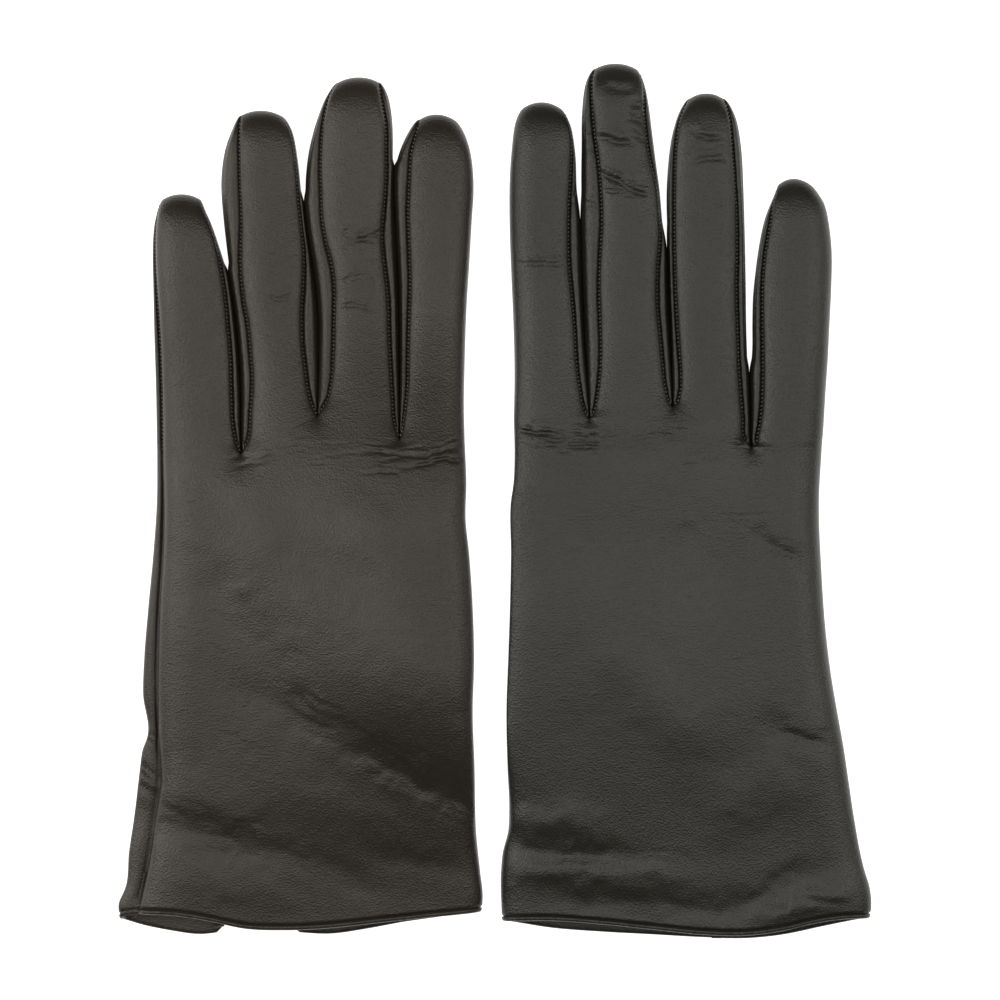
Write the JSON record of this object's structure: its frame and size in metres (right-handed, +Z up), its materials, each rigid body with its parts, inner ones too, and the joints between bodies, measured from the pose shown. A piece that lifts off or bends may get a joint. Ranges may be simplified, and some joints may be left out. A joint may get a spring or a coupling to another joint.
{
  "type": "pair of leather gloves",
  "caption": "Pair of black leather dress gloves lying backs up, with fourchettes between the fingers, a knitted lining, a slit at the cuff and the thumbs folded under.",
  "frame": {"origin": "on the table, under the centre of the pair's bounding box", "axes": "+Y from the cuffs to the fingertips, +X to the right glove, whose little finger is outermost, +Z up off the table"},
  "size_m": [0.2143, 0.25, 0.0242],
  "materials": {
    "glove_leather": "black nappa with a fine grain and a soft sheen",
    "hem_leather": "the same black nappa, turned and sewn round the cuff",
    "knitted_lining": "fine black knit, matt",
    "sewing_thread": "black sewing thread"
  },
  "bodies": {
    "left_palm": {"left_cuff_binding": "hem_leather", "left_fourchette_root_index_middle": "glove_leather", "left_fourchette_root_middle_ring": "glove_leather", "left_fourchette_root_ring_little": "glove_leather", "left_lining_body": "knitted_lining", "left_thumb_collar": "glove_leather", "left_trank_back": "glove_leather", "left_trank_palm": "glove_leather"},
    "left_index": {"left_index_back": "glove_leather", "left_index_fourchette_middle_side": "glove_leather", "left_index_lining": "knitted_lining", "left_index_palm": "glove_leather"},
    "left_middle": {"left_middle_back": "glove_leather", "left_middle_fourchette_index_side": "glove_leather", "left_middle_fourchette_ring_side": "glove_leather", "left_middle_lining": "knitted_lining", "left_middle_palm": "glove_leather"},
    "left_ring": {"left_ring_back": "glove_leather", "left_ring_fourchette_little_side": "glove_leather", "left_ring_fourchette_middle_side": "glove_leather", "left_ring_lining": "knitted_lining", "left_ring_palm": "glove_leather"},
    "left_little": {"left_little_back": "glove_leather", "left_little_fourchette_ring_side": "glove_leather", "left_little_lining": "knitted_lining", "left_little_palm": "glove_leather"},
    "left_thumb": {"left_thumb_upper": "glove_leather", "left_thumb_lower": "glove_leather", "left_thumb_lining": "knitted_lining"},
    "right_palm": {"right_cuff_binding": "hem_leather", "right_fourchette_root_index_middle": "glove_leather", "right_fourchette_root_middle_ring": "glove_leather", "right_fourchette_root_ring_little": "glove_leather", "right_lining_body": "knitted_lining", "right_thumb_collar": "glove_leather", "right_trank_back": "glove_leather", "right_trank_palm": "glove_leather"},
    "right_index": {"right_index_back": "glove_leather", "right_index_fourchette_middle_side": "glove_leather", "right_index_lining": "knitted_lining", "right_index_palm": "glove_leather"},
    "right_middle": {"right_middle_back": "glove_leather", "right_middle_fourchette_index_side": "glove_leather", "right_middle_fourchette_ring_side": "glove_leather", "right_middle_lining": "knitted_lining", "right_middle_palm": "glove_leather"},
    "right_ring": {"right_ring_back": "glove_leather", "right_ring_fourchette_little_side": "glove_leather", "right_ring_fourchette_middle_side": "glove_leather", "right_ring_lining": "knitted_lining", "right_ring_palm": "glove_leather"},
    "right_little": {"right_little_back": "glove_leather", "right_little_fourchette_ring_side": "glove_leather", "right_little_lining": "knitted_lining", "right_little_palm": "glove_leather"},
    "right_thumb": {"right_thumb_upper": "glove_leather", "right_thumb_lower": "glove_leather", "right_thumb_lining": "knitted_lining"}
  },
  "joints": [
    {"name": "right_glove_lift", "type": "slide", "parent": "left_palm", "child": "right_palm", "axis": [0, 0, 1], "range_m": [0, 0.08]},
    {"name": "left_index_bend", "type": "hinge", "parent": "left_palm", "child": "left_index", "pos_m": [-0.017, 0.03, 0.0038], "axis": [-1, 0, 0], "range_deg": [-25, 75]},
    {"name": "left_middle_bend", "type": "hinge", "parent": "left_palm", "child": "left_middle", "pos_m": [-0.0386, 0.036, 0.0023], "axis": [-1, 0, 0], "range_deg": [-25, 75]},
    {"name": "left_ring_bend", "type": "hinge", "parent": "left_palm", "child": "left_ring", "pos_m": [-0.0612, 0.036, 0.00014], "axis": [-1, 0, 0], "range_deg": [-25, 75]},
    {"name": "left_little_bend", "type": "hinge", "parent": "left_palm", "child": "left_little", "pos_m": [-0.08465, 0.026, 0], "axis": [-1, 0, 0], "range_deg": [-25, 75]},
    {"name": "left_thumb_bend", "type": "hinge", "parent": "left_palm", "child": "left_thumb", "pos_m": [-0.03032, -0.049, 0], "axis": [-0.9788, -0.205, 0], "range_deg": [0, 80]},
    {"name": "right_index_bend", "type": "hinge", "parent": "right_palm", "child": "right_index", "pos_m": [0.01565, 0.035, 0.00273], "axis": [-1, 0, 0], "range_deg": [-25, 75]},
    {"name": "right_middle_bend", "type": "hinge", "parent": "right_palm", "child": "right_middle", "pos_m": [0.0383, 0.038, 0.00195], "axis": [-1, 0, 0], "range_deg": [-25, 75]},
    {"name": "right_ring_bend", "type": "hinge", "parent": "right_palm", "child": "right_ring", "pos_m": [0.06145, 0.038, 0.00009], "axis": [-1, 0, 0], "range_deg": [-25, 75]},
    {"name": "right_little_bend", "type": "hinge", "parent": "right_palm", "child": "right_little", "pos_m": [0.0839, 0.028, 0], "axis": [-1, 0, 0], "range_deg": [-25, 75]},
    {"name": "right_thumb_bend", "type": "hinge", "parent": "right_palm", "child": "right_thumb", "pos_m": [0.03032, -0.049, 0], "axis": [-0.9788, 0.205, 0], "range_deg": [0, 80]}
  ]
}
